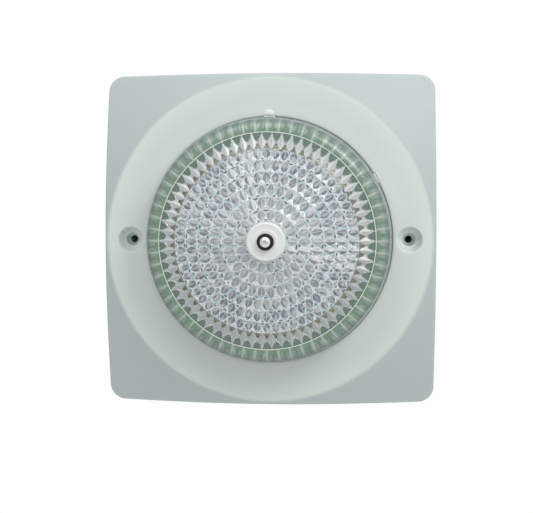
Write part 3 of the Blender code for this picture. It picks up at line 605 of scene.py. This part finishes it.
def clear_polycarbonate():
    """Clear polycarbonate with a green cast. Its base colour carries painted reflections and painted light:
    each prism's polished sides are painted a reflected grey between painted highlight edges, its grooves are
    painted with blue and white reflections, and the fluted wall is textured and painted pale green with
    painted light and shade."""
    material, add, place = start_material("clear_polycarbonate")
    marks = add("SeparateXYZ", [add("Attribute", attribute_name="facet")["Vector"]])
    across, along, zone = marks["X"], marks["Y"], marks["Z"]
    outermost = add("MapRange", [zone, 0.05, 0.15], **soft)
    boss = add("MapRange", [zone, 0.3, 0.9], **soft)
    skirt = add("MapRange", [zone, 1.3, 1.9], **soft)
    inside = add("MapRange", [zone, 2.3, 2.9], **soft)
    split = add("SeparateXYZ", [place])
    on_disc = add("CombineXYZ", {"X": split["X"], "Z": split["Z"]})
    from_centre = add("VectorMath", [on_disc], operation="LENGTH")
    cloud = add("TexNoise", {"Vector": place, "Scale": 420.0, "Detail": 2.0})["Fac"]
    sparkle = add("TexNoise", {"Vector": place, "Scale": 900.0, "Detail": 1.0})["Fac"]

    # The bright lines are painted highlights: an almond's outline, where across is 1, its ridge, where it is
    # 0, and the circular crests. In the last ring these lines are painted dark, a painted shade.
    almond = add("MapRange", [across, 1.06, 0.94], **soft)
    scallop = add("MapRange", [across, 2.3, 2.8], **soft)
    off_outline = add("Math", [add("Math", [across, 1.0], operation="SUBTRACT")], operation="ABSOLUTE")
    outline = add("MapRange", [off_outline, 0.17, 0.03, 0.0, 0.95], **soft)
    ridge = add("MapRange", [across, 0.14, 0.0, 0.0, 0.70], **soft)
    from_crest = add("Math", [along, add("Math", [1.0, along], operation="SUBTRACT")], operation="MINIMUM")
    crest = add("MapRange", [from_crest, 0.08, 0.01, 0.0, 0.6], **soft)
    line = add("Math", [add("Math", [outline, ridge], operation="MAXIMUM"), crest], operation="MAXIMUM")
    line = add("Mix", [scallop, line, 0.0])

    # The prisms: grooves painted with blue-white reflections and painted glints, with dark painted
    # reflections in their corners; almonds painted a reflected grey that is painted lighter inwards; in the
    # last ring, almonds painted lighter towards the top, a painted light, and yellow painted reflections of
    # the LEDs in the grooves.
    # Painted reflection: the grooves are painted blue-white, with painted glints from the fine noise.
    groove = add("Mix", [add("MapRange", [sparkle, 0.38, 0.60], **soft), "B4D2DE", "FFFFFF"], **colors)
    # Painted shade: dark teal patches where the grooves meet the crests, a painted dark reflection.
    in_gap = add("MapRange", [across, 1.30, 1.60], **soft)
    at_crest = add("MapRange", [from_crest, 0.20, 0.12], **soft)
    groove_corner_painted_shade = add("Math", [in_gap, at_crest], operation="MULTIPLY")
    groove_corner_painted_shade = add("Math", [groove_corner_painted_shade, add("MapRange", [cloud, 0.46, 0.56], **soft)], operation="MULTIPLY")
    groove = add("Mix", [groove_corner_painted_shade, groove, "4C7480"], **colors)
    # Painted reflection: the almonds' sides are painted a reflected grey.
    almond_painted_grey = add("Mix", [add("MapRange", [cloud, 0.42, 0.58], **soft), "929EAD", "E8EDF3"], **colors)
    # Painted light: the almonds are painted lighter towards the centre of the lens.
    inward_painted_light = add("MapRange", [from_centre, 0.032, 0.012, 0.0, 0.6], **soft)
    almond_painted_grey = add("Mix", [inward_painted_light, almond_painted_grey, "F0F3F8"], **colors)
    # Painted light: the last ring's almonds are painted lighter towards the top and darker towards the
    # bottom.
    last_ring_painted_light = add("Mix", [add("MapRange", [split["Z"], -0.025, 0.025], **soft), "D6DBDC", "F6F8FA"], **colors)
    prism = add("Mix", [almond, groove, add("Mix", [outermost, almond_painted_grey, last_ring_painted_light], **colors)], **colors)
    # Painted highlight: the bright lines are painted near white; in the last ring they are painted dark grey,
    # a painted shade.
    prism = add("Mix", [line, prism, add("Mix", [outermost, "FAFAFC", "8E9A9E"], **colors)], **colors)
    prism = add("Mix", [scallop, prism, "D2EADC"], **colors)
    # Painted reflection: pale yellow patches in the last ring's grooves stand for the LEDs seen through the
    # lens.
    outer_gap = add("Math", [outermost, add("MapRange", [along, 0.40, 0.26], **soft)], operation="MULTIPLY")
    outer_gap = add("Math", [outer_gap, add("MapRange", [across, 1.06, 1.16], **soft)], operation="MULTIPLY")
    prism = add("Mix", [outer_gap, prism, "EFE9C4"], **colors)
    boss_tone = add("Mix", [add("MapRange", [along, 0.62, 0.72], **soft), "FFFFFF", "F3F8F8"], **colors)

    # The skirt: streaked ribs with painted light along one line of each flute and painted shade along
    # another, a painted shade of darker blue-grey towards its edge, a green crescent of painted shade at each
    # flute's top, and a painted highlight along the shoulder.
    heading = add("Math", [split["Z"], split["X"]], operation="ARCTAN2")
    polar = add("CombineXYZ", {
        "X": add("Math", [heading, 46.0], operation="MULTIPLY"),
        "Y": add("Math", [along, 2.0], operation="MULTIPLY"),
    })
    streak = add("TexNoise", {"Vector": polar, "Scale": 1.0, "Detail": 3.0})["Fac"]
    streaked = add("Mix", [add("MapRange", [streak, 0.38, 0.62], **soft), "93AC9D", "BED4C7"], **colors)
    # Painted light and shade: each rib is painted light along one line and darker along another.
    rib = add("Mix", [add("MapRange", [across, 0.05, 0.30], **soft), "D8E8DE", streaked], **colors)
    rib = add("Mix", [add("MapRange", [across, 0.55, 0.95], **soft), rib, "90A99C"], **colors)
    # Painted shade: the skirt is painted a darker blue-grey towards its outer edge.
    foot = add("Mix", [add("MapRange", [across, 0.2, 0.7], **soft), "A0B2AC", "7C919A"], **colors)
    rim = add("Mix", [add("MapRange", [along, 0.45, 0.80], **soft), rib, foot], **colors)
    # Painted shade: a green crescent is painted at the top of each flute.
    height = add("Math", [add("Math", [along, 0.27], operation="DIVIDE"), 2.0], operation="POWER")
    width = add("Math", [add("Math", [1.0, across], operation="SUBTRACT"), 0.80], operation="DIVIDE")
    width = add("Math", [width, 2.0], operation="POWER")
    crescent = add("MapRange", [add("Math", [height, width], operation="ADD"), 1.15, 0.85], **soft)
    crescent = add("Math", [crescent, add("MapRange", [along, 0.03, 0.07], **soft)], operation="MULTIPLY")
    rim = add("Mix", [crescent, rim, "A2C9AD"], **colors)
    # Painted highlight: a paler line is painted along the shoulder.
    rim = add("Mix", [add("MapRange", [along, 0.055, 0.03], **soft), rim, "B9CDC2"], **colors)
    tone = add("Mix", [skirt, add("Mix", [boss, prism, boss_tone], **colors), rim], **colors)

    clarity = add("Mix", [almond, 0.22, add("Mix", [outermost, 0.50, 0.30])])
    for mask, part_clarity in ((line, 0.10), (scallop, 0.78), (outer_gap, 0.90), (boss, 0.0)):
        clarity = add("Mix", [mask, clarity, part_clarity])
    skirt_clarity = add("Mix", [crescent, add("MapRange", [along, 0.76, 0.88, 0.40, 0.88], **soft), 0.50])
    clarity = add("Mix", [inside, add("Mix", [skirt, clarity, skirt_clarity]), 1.0])
    rough = add("Mix", [almond, 0.04, add("MapRange", [cloud, 0.3, 0.7, 0.10, 0.18], **soft)])
    rough = add("Mix", [boss, rough, 0.22])
    skirt_rough = add("Mix", [crescent, add("MapRange", [along, 0.76, 0.88, 0.20, 0.10], **soft), 0.10])
    rough = add("Mix", [inside, add("Mix", [skirt, rough, skirt_rough]), 0.06])
    shader = add("BsdfPrincipled", {
        "Base Color": add("Mix", [inside, tone, "F0F6F2"], **colors), "Transmission Weight": clarity,
        "Roughness": rough, "IOR": 1.585, "Specular IOR Level": 0.5,
    })
    add("OutputMaterial", [shader])
    return material


lens_points, lens_faces = joined_bands(lens_bands())
lens = make_piece("prism_lens", lens_points[:, :3], lens_faces, sharp=18, marks=lens_points[:, 3:])
for i, heading in enumerate(lug_headings):
    outline = bar_outline(lug_start, lug_reach, lug_width, heading)
    lug_marks = np.tile([0.5, 1.0, on_skirt], (2 * len(outline), 1))
    lug = upright_solid(f"lens_lug_{i}", outline, lens_base_z + 0.0006, lug_top, lug_marks)
    join_solids(lens, [lug], "UNION")

# The union leaves the lugs without marks, so the points that stand out of the wall get a skirt's.
places = np.empty(len(lens.data.vertices) * 3, dtype=np.float32)
lens.data.vertices.foreach_get("co", places)
marks = np.empty_like(places)
facet = lens.data.attributes["facet"].data
facet.foreach_get("vector", marks)
places, marks = places.reshape(-1, 3), marks.reshape(-1, 3)
marks[np.hypot(places[:, 0], places[:, 2]) > lens_radius + 0.0001] = (0.5, 0.6, on_skirt)
facet.foreach_set("vector", marks.ravel())
lens.data.shade_smooth()
lens.data.set_sharp_from_angle(angle=math.radians(18))
lens.data.materials.clear()
lens.data.materials.append(clear_polycarbonate())
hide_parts("lens")
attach(lens, "lens")

# --- Lens fixing and seal -----------------------------------------------------------------------------------
# A polished steel screw with a domed head holds the lens down through a black nylon washer. A soft rubber
# ring lies between the lens's foot and the cover's seat.
def moulded(name, dark, light, rough, grain, relief, metallic=0.0, spread=0.10):
    """A finish with a fine grain of a given size and relief in metres, and a slow change of tone and of
    gloss."""
    material, add, place = start_material(name)
    slow = add("TexNoise", {"Vector": place, "Scale": 90.0, "Detail": 3.0})["Fac"]
    fine = add("TexNoise", {"Vector": place, "Scale": 1 / grain, "Detail": 2.0})["Fac"]
    both = add("MapRange", [add("Mix", [0.45, slow, fine]), 0.35, 0.65], **soft)
    shader = add("BsdfPrincipled", {
        "Base Color": add("Mix", [both, dark, light], **colors), "Metallic": metallic,
        "Roughness": add("MapRange", [slow, 0.3, 0.7, rough - spread / 2, rough + spread / 2], **soft),
        "Normal": add("Bump", {"Height": fine, "Strength": 0.6, "Distance": relief}),
    })
    add("OutputMaterial", [shader])
    return material


def stand_in(piece, node, body):
    """A detailed piece takes a CAD node's place, on its body."""
    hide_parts(node)
    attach(piece, body)
    return piece


def rounded_profile(corners, reach=0.0002, steps=3):
    """A profile with each corner cut back by reach and rounded by a quadratic curve through it."""
    corners = np.asarray(corners, float)
    points = []
    for before, corner, after in zip(np.roll(corners, 1, 0), corners, np.roll(corners, -1, 0)):
        lead, tail = before - corner, after - corner
        cut = min(reach, np.linalg.norm(lead) * 0.45, np.linalg.norm(tail) * 0.45)
        start, end = corner + lead / np.linalg.norm(lead) * cut, corner + tail / np.linalg.norm(tail) * cut
        for t in np.linspace(0, 1, steps + 1):
            points.append(start * (1 - t) ** 2 + corner * 2 * t * (1 - t) + end * t ** 2)
    return points


def turned_ring(name, corners, steps, centre, material, reach=0.0002):
    """A ring, tube or washer: a rounded loop of (radius, z) corners turned about an upright axis."""
    return turned_piece(name, rounded_profile(corners, reach), steps, centre, ring=True, material=material)


polished_steel = moulded("polished_steel", "F4F5F6", "FDFDFD", 0.30, 0.0004, 0.000002, 1.0)
black_nylon = moulded("black_moulded_nylon", "060708", "0E1012", 0.50, 0.0003, 0.00001)
epdm_rubber = moulded("epdm_rubber", "161718", "222324", 0.70, 0.0003, 0.00002)
washer_low, washer_high, washer_radius, washer_hole = 0.0653, 0.0672, 0.0034, 0.0017
washer = [(washer_hole, washer_high - 0.0003), (washer_hole + 0.0004, washer_high)]
washer += [(washer_radius - 0.0004, washer_high), (washer_radius, washer_high - 0.0005)]
washer += [(washer_radius, washer_low), (washer_hole, washer_low)]
lens_washer = turned_ring("nylon_washer", washer, 64, (0, 0), black_nylon)
stand_in(lens_washer, "centre_washer", "lens")
head_low, head_high, head_radius, shaft_radius, shaft_end = 0.0675, 0.06879, 0.00215, 0.00125, 0.0535
screw = arc(0, head_low, head_radius, np.linspace(1.5, 0.05, 12), head_high - head_low)
screw += [(head_radius, head_low), (shaft_radius, head_low), (shaft_radius, shaft_end + 0.0003)]
screw.append((shaft_radius - 0.00035, shaft_end))
centre_screw = turned_piece("lens_screw", screw, 64, material=polished_steel, sharp=50)
stand_in(centre_screw, "centre_screw", "lens")
seal_radius, seal_middle, cord_radius = 0.0502, 0.0339, 0.00059
bend = np.radians(np.arange(0, 360, 24))
seal = arc(seal_radius, seal_middle, cord_radius, bend)
lens_seal = turned_piece("lens_seal_ring", seal, 160, ring=True, material=epdm_rubber)
stand_in(lens_seal, "lens_seal", "unit")

# --- Reflector plate, column and post -----------------------------------------------------------------------
# A round plate of bright-rolled aluminium lies on a hexagonal extruded heat-sink column. A moulded nylon
# post comes up through both and takes the lens screw.
def drawn_metal(name, dark, light, rough, along):
    """Extruded or rolled metal: fine streaks, 0.15 mm wide, that run along one axis."""
    material, add, place = start_material(name)
    stretch = [7000.0, 7000.0, 7000.0]
    stretch[along] = 60.0
    pulled = add("VectorMath", [place, stretch], operation="MULTIPLY")
    streak = add("TexNoise", {"Vector": pulled, "Scale": 1.0, "Detail": 2.0})["Fac"]
    shader = add("BsdfPrincipled", {
        "Base Color": add("Mix", [add("MapRange", [streak, 0.3, 0.7], **soft), dark, light], **colors),
        "Roughness": add("MapRange", [streak, 0.3, 0.7, rough - 0.06, rough + 0.06], **soft),
        "Normal": add("Bump", {"Height": streak, "Strength": 0.4, "Distance": 0.000008}), "Metallic": 1.0,
    })
    add("OutputMaterial", [shader])
    return material


def soften(node, name, width, material, body="unit"):
    """A copy of a CAD node takes its place, with its flat faces joined and its hard edges rounded."""
    bm = bmesh.new()
    bm.from_mesh(cad[node].data)
    bmesh.ops.remove_doubles(bm, verts=bm.verts, dist=1e-6)
    bmesh.ops.dissolve_limit(bm, angle_limit=math.radians(1.5), verts=bm.verts, edges=bm.edges)
    hard_angle = math.radians(35)
    hard = [edge for edge in bm.edges if len(edge.link_faces) == 2 and edge.calc_face_angle(0) > hard_angle]
    bmesh.ops.bevel(bm, geom=hard, offset=width, segments=2, profile=0.5, affect="EDGES", clamp_overlap=True)
    bmesh.ops.recalc_face_normals(bm, faces=bm.faces)
    mesh = bpy.data.meshes.new(name)
    bm.to_mesh(mesh)
    bm.free()
    mesh.materials.clear()
    mesh.materials.append(material)
    mesh.shade_smooth()
    mesh.set_sharp_from_angle(angle=math.radians(20))
    mesh.transform(cad[node].matrix_world)
    piece = bpy.data.objects.new(name, mesh)
    scene.collection.objects.link(piece)
    return stand_in(piece, node, body)


bright_aluminium = drawn_metal("bright_rolled_aluminium", "E9ECEE", "F8F9FA", 0.42, 0)
extruded_aluminium = drawn_metal("extruded_aluminium", "AEB2B7", "CDD0D3", 0.34, 1)
white_nylon = moulded("white_moulded_nylon", "DDE0DD", "ECEEEB", 0.45, 0.0003, 0.00001)
plate_radius, plate_hole, plate_low, plate_high = 0.0380, 0.0043, 0.0502, 0.0514
plate = [(plate_hole, plate_high), (plate_radius, plate_high)]
plate += [(plate_radius, plate_low), (plate_hole, plate_low)]
reflector = turned_ring("reflector_plate", plate, 128, (0, 0), bright_aluminium)
stand_in(reflector, "mirror_plate", "unit")
soften("led_column", "heat_sink_column", 0.0004, extruded_aluminium)
post_low, post_high, post_radius, thread_low, thread_radius = 0.0319, 0.0605, 0.0040, 0.0500, 0.0016
post = [(0.0004, thread_low), (thread_radius, thread_low), (thread_radius, post_high)]
post += [(post_radius, post_high), (post_radius, post_low), (0.0004, post_low)]
lens_post = turned_piece("lens_post", rounded_profile(post)[2:-2], 48, material=white_nylon)
stand_in(lens_post, "centre_post", "unit")

# --- LED strips ---------------------------------------------------------------------------------------------
# Six narrow aluminium-core boards, one on each side of the column, each with four square surface-mount LEDs
# near its top. An LED is a white cup filled with yellow phosphor gel, and white solder mask covers the
# board.
strip_thick, strip_width, strip_height, strip_middle = 0.0012, 0.0310, 0.0155, 0.0411
cup_size, gel_size, led_pitch, led_rise = (0.0014, 0.0050, 0.0050), (0.0009, 0.0043, 0.0043), 0.0066, 0.0040
column_apothem, fit = 0.0352, 0.0003


def soft_block(name, size, middle, heading, reach, material, segments=2):
    """A block with rounded edges, centred on a point in wall axes after it is turned to a heading."""
    half = np.array(size) / 2
    signs = np.array([[x, y, z] for z in (-1, 1) for x, y in ((-1, -1), (1, -1), (1, 1), (-1, 1))])
    cosine, sine = math.cos(heading), math.sin(heading)
    points = (signs * half + np.array(middle)) @ np.array([[cosine, sine, 0], [-sine, cosine, 0], [0, 0, 1]])
    faces = [grid_quads(2, 4), [(3, 2, 1, 0)], [(4, 5, 6, 7)]]
    block = make_piece(name, points, faces, material, smooth=False)
    bm = bmesh.new()
    bm.from_mesh(block.data)
    bmesh.ops.bevel(bm, geom=bm.edges, offset=reach, segments=segments, profile=0.5, affect="EDGES")
    bm.to_mesh(block.data)
    bm.free()
    block.data.shade_smooth()
    block.data.set_sharp_from_angle(angle=math.radians(40))
    return block


def joined(pieces):
    """Several pieces made one, which keeps each one's material."""
    target_mesh = pieces[0].data
    bm = bmesh.new()
    for piece in pieces:
        first = len(bm.faces)
        bm.from_mesh(piece.data)
        bm.faces.ensure_lookup_table()
        if piece.data.materials[0].name not in [m.name for m in target_mesh.materials]:
            target_mesh.materials.append(piece.data.materials[0])
        place = [m.name for m in target_mesh.materials].index(piece.data.materials[0].name)
        for face in bm.faces[first:]:
            face.material_index = place
    bm.to_mesh(target_mesh)
    bm.free()
    for piece in pieces[1:]:
        bpy.data.objects.remove(piece)
    return pieces[0]


white_mask = moulded("white_solder_mask", "E4E6E2", "F2F3F0", 0.40, 0.0005, 0.00001)
led_cup = moulded("white_led_cup", "EDEEEA", "F8F8F5", 0.35, 0.0003, 0.000005)
phosphor = moulded("yellow_phosphor_gel", "D9C21E", "F2E24A", 0.30, 0.0002, 0.00001)
tinned_pad = moulded("tinned_pad", "B8BABC", "D6D7D8", 0.30, 0.0002, 0.00001, 1.0)
face_out = column_apothem + fit + strip_thick
board_block = (strip_thick, strip_width, strip_height)
board_middle = (face_out - strip_thick / 2, 0, strip_middle)
pad_size, pad_drop = (0.0002, 0.0026, 0.0018), 0.0050
for side in range(6):
    heading = math.radians(30 + 60 * side)
    parts = [soft_block(f"strip_board_{side}", board_block, board_middle, heading, 0.0001, white_mask)]
    for i in range(4):
        across = (i - 1.5) * led_pitch
        middle = (face_out + cup_size[0] / 2 - 0.0001, across, strip_middle + led_rise)
        parts.append(soft_block(f"cup_{side}_{i}", cup_size, middle, heading, 0.00015, led_cup))
        middle = (face_out + 0.0001 + gel_size[0], across, strip_middle + led_rise)
        parts.append(soft_block(f"gel_{side}_{i}", gel_size, middle, heading, 0.0003, phosphor, 3))
    for across in (-0.011, -0.004, 0.004, 0.011):
        middle = (face_out + 0.00002, across, strip_middle - pad_drop)
        parts.append(soft_block(f"pad_{side}_{across}", pad_size, middle, heading, 0.00006, tinned_pad))
    stand_in(joined(parts), f"led_strip_{side + 1}", "unit")

# --- Circuit boards and what joins them ---------------------------------------------------------------------
# Two glass-fibre boards under green solder mask, with copper tracks that show as paler lines. The round one
# carries the column; brass hexagon pillars and zinc-plated cross-head screws hold it over the square one.
def solder_mask(name):
    """Green solder mask: 0.5 mm tracks at 1.3 mm spacing in patches, and tinned pads 1.2 mm across."""
    material, add, place = start_material(name)
    split = add("SeparateXYZ", [place])
    patch = add("SeparateColor", [add("TexVoronoi", {"Vector": place, "Scale": 70.0})["Color"]])["Red"]
    run = add("Mix", [add("MapRange", [patch, 0.45, 0.55], **soft), split["X"], split["Z"]])
    saw = add("Math", [add("Math", [run, 1 / 0.0013], operation="MULTIPLY"), 0.5], operation="PINGPONG")
    track = add("MapRange", [saw, 0.20, 0.14], **soft)
    dots = add("TexVoronoi", {"Vector": place, "Scale": 190.0})["Distance"]
    cloud = add("TexNoise", {"Vector": place, "Scale": 300.0, "Detail": 2.0})["Fac"]
    tone = add("Mix", [track, add("Mix", [cloud, "1C6240", "24704A"], **colors), "34895E"], **colors)
    shader = add("BsdfPrincipled", {
        "Base Color": add("Mix", [add("MapRange", [dots, 0.115, 0.10], **soft), tone, "C9CCC8"], **colors),
        "Normal": add("Bump", {"Height": track, "Strength": 0.5, "Distance": 0.00003}), "Roughness": 0.32,
    })
    add("OutputMaterial", [shader])
    return material


board_mask = solder_mask("green_solder_mask")
zinc_plate = moulded("zinc_plated_steel", "B4B9BE", "C9CED2", 0.38, 0.0008, 0.000004, 1.0, 0.12)
brass = moulded("turned_brass", "B08D3E", "CDAA58", 0.32, 0.0006, 0.000004, 1.0)
soften("led_board", "round_led_board", 0.00012, board_mask)
soften("main_board", "square_main_board", 0.00012, board_mask)
soften("board_link", "board_header", 0.0003, black_nylon)


def cross_head_screw(name, node, points):
    """A pan-head screw with a cross recess: a flattened dome on a shaft. points is the shaft's way along
    z."""
    low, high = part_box(node)
    centre = ((low.x + high.x) / 2, (low.z + high.z) / 2)
    head_top, tip = (-high.y, -low.y) if points > 0 else (-low.y, -high.y)
    head_height, head_radius, shaft_radius = 0.0018, 0.00259, 0.00115
    slot_width, slot_reach, slot_depth = 0.0006, 0.00135, 0.0008
    seat = head_top + points * head_height
    bend = np.linspace(1.45, 0.30, 7)
    head = [(head_radius * math.cos(a) ** 0.6, seat - points * head_height * math.sin(a)) for a in bend]
    head += [(head_radius, seat - points * 0.0002), (head_radius - 0.0001, seat), (shaft_radius, seat)]
    head += [(shaft_radius, tip - points * 0.0008), (shaft_radius * 0.5, tip)]
    head[0] = (head[0][0], head_top)
    piece = turned_piece(name, head[::points], 40, centre, material=zinc_plate, sharp=40)
    for turn in (0.3, 0.3 + math.pi / 2):
        ends = sorted((head_top - points * 0.001, head_top + points * slot_depth))
        outline = bar_outline(-slot_reach, slot_reach, slot_width, turn, centre)
        join_solids(piece, [upright_solid(f"{name}_cut", outline, *ends)], "DIFFERENCE")
    return stand_in(piece, node, "unit")


for i in range(1, 5):
    soften(f"board_pillar_{i}", f"brass_pillar_{i}", 0.0002, brass)
    cross_head_screw(f"round_board_screw_{i}", f"led_board_screw_{i}", -1)

# --- Parts on the main board --------------------------------------------------------------------------------
# Two electrolytic capacitors in sleeved aluminium cans, a copper-wound toroid, and two chips in black epoxy.
def copper_winding():
    """Enamelled copper wire wound on a ring: 36 turns that cross the ring, with painted shade, a darker
    brown, in the valleys between the turns.
    """
    material, add, place = start_material("enamelled_copper_wire")
    low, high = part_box("inductor")
    split = add("SeparateXYZ", [add("VectorMath", [place, (low + high) / 2], operation="SUBTRACT")])
    heading = add("Math", [split["Z"], split["X"]], operation="ARCTAN2")
    turns = add("Math", [heading, 36 / (2 * math.pi)], operation="MULTIPLY")
    saw = add("Math", [turns, 0.5], operation="PINGPONG")
    height = add("MapRange", [saw, 0.0, 0.45], **soft)
    shader = add("BsdfPrincipled", {
        # Painted shade: the valleys between the turns are painted darker brown.
        "Base Color": add("Mix", [add("MapRange", [saw, 0.05, 0.35], **soft), "5E2A12", "C4713A"], **colors),
        "Normal": add("Bump", {"Height": height, "Strength": 1.0, "Distance": 0.0002}),
        "Metallic": 1.0, "Roughness": 0.28,
    })
    add("OutputMaterial", [shader])
    return material


chip_epoxy = moulded("chip_epoxy", "1B1C1E", "292A2D", 0.55, 0.0002, 0.00001)
for i in (1, 2):
    low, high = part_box(f"capacitor_{i}")
    centre = ((low.x + high.x) / 2, (low.z + high.z) / 2)
    radius, base, top = (high.x - low.x) / 2, -high.y, -low.y
    can = [(0.0002, top - 0.0002), (radius * 0.80, top - 0.0002), (radius * 0.88, top)]
    can += [(radius - 0.0002, top - 0.0001), (radius, top - 0.0005)]
    can += [(radius, base + 0.0026), (radius - 0.0004, base + 0.0021)]
    can += [(radius, base + 0.0016), (radius, base + 0.0003), (radius - 0.0003, base), (0.0002, base)]
    capacitor = turned_piece(f"capacitor_can_{i}", can, 56, centre, material=extruded_aluminium)
    stand_in(capacitor, f"capacitor_{i}", "unit")
low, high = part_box("inductor")
centre = ((low.x + high.x) / 2, (low.z + high.z) / 2)
ring_middle, wire_radius = -(low.y + high.y) / 2, (high.y - low.y) / 2
ring_radius = (high.x - low.x) / 2 - wire_radius
bend = np.radians(np.arange(0, 360, 15))
coil = arc(ring_radius, ring_middle, wire_radius, bend)
toroid = turned_piece("wound_toroid", coil, 72, centre, ring=True, material=copper_winding())
stand_in(toroid, "inductor", "unit")
for node in ("driver_chip", "controller_chip"):
    soften(node, f"{node}_package", 0.0002, chip_epoxy)

# --- Sounder and horn ---------------------------------------------------------------------------------------
# A black moulded case holds a thin brass disc, and a short horn flares from its port to the slots in the
# cover.
black_abs = moulded("black_moulded_abs", "141517", "212326", 0.46, 0.0004, 0.00002)
soften("sounder_case", "sounder_shell", 0.0004, black_abs)
soften("sounder_disc", "sounder_membrane", 0.0001, brass)
soften("sound_horn", "flared_horn", 0.0002, black_abs)

# --- Rear housing -------------------------------------------------------------------------------------------
# A tray moulded in light grey ABS closes the back, with a black rubber seal on its rim and four zinc-plated
# screws.
grey_abs = moulded("light_grey_abs", "B3B7B8", "C2C6C7", 0.50, 0.0006, 0.00002)
soften("rear_housing", "rear_tray", 0.0004, grey_abs)
soften("housing_seal", "tray_seal", 0.0003, epdm_rubber)
for i in range(1, 5):
    cross_head_screw(f"tray_screw_{i}", f"housing_screw_{i}", 1)

# --- Wiring parts -------------------------------------------------------------------------------------------
# In the tray's window: a green two-way terminal block with brass clamps, a red four-way slide switch, a
# square push switch, and a blue volume trimmer with a nylon rotor.
green_polyamide = moulded("green_polyamide", "2C8C58", "3A9E68", 0.45, 0.0005, 0.00001)
red_polyester = moulded("red_moulded_polyester", "A8201C", "BE2E28", 0.38, 0.0004, 0.00001)
blue_polyester = moulded("blue_moulded_polyester", "1C4E9A", "2A60B0", 0.38, 0.0004, 0.00001)
soften("terminal_block", "two_way_terminal", 0.0003, green_polyamide)
for i in (1, 2):
    clamp, screw = f"wire_clamp_{i}", f"terminal_screw_{i}"
    soften(clamp, f"brass_clamp_{i}", 0.00015, brass, clamp)
    soften(screw, f"clamp_screw_{i}", 0.00012, zinc_plate, screw)
soften("setting_switch", "slide_switch_body", 0.0002, red_polyester)
for i in range(1, 5):
    slider = f"setting_slider_{i}"
    soften(slider, f"slide_tab_{i}", 0.00015, white_nylon, slider)
soften("reset_switch", "push_switch_frame", 0.0002, zinc_plate)
soften("reset_button", "push_switch_button", 0.0002, black_abs, "reset_button")
soften("volume_trimmer", "trimmer_body", 0.0002, blue_polyester)
soften("trimmer_rotor", "trimmer_dial", 0.00015, white_nylon, "trimmer_rotor")

# --- Wall bracket and grommet -------------------------------------------------------------------------------
# A flat pressed plate in zinc-plated steel stays on the wall box, with two threaded bosses for the unit's
# screws. A black rubber grommet lines its cable hole.
soften("wall_bracket", "bracket_plate", 0.0003, zinc_plate, "bracket")
soften("cable_grommet", "wall_grommet", 0.0004, epdm_rubber, "bracket")
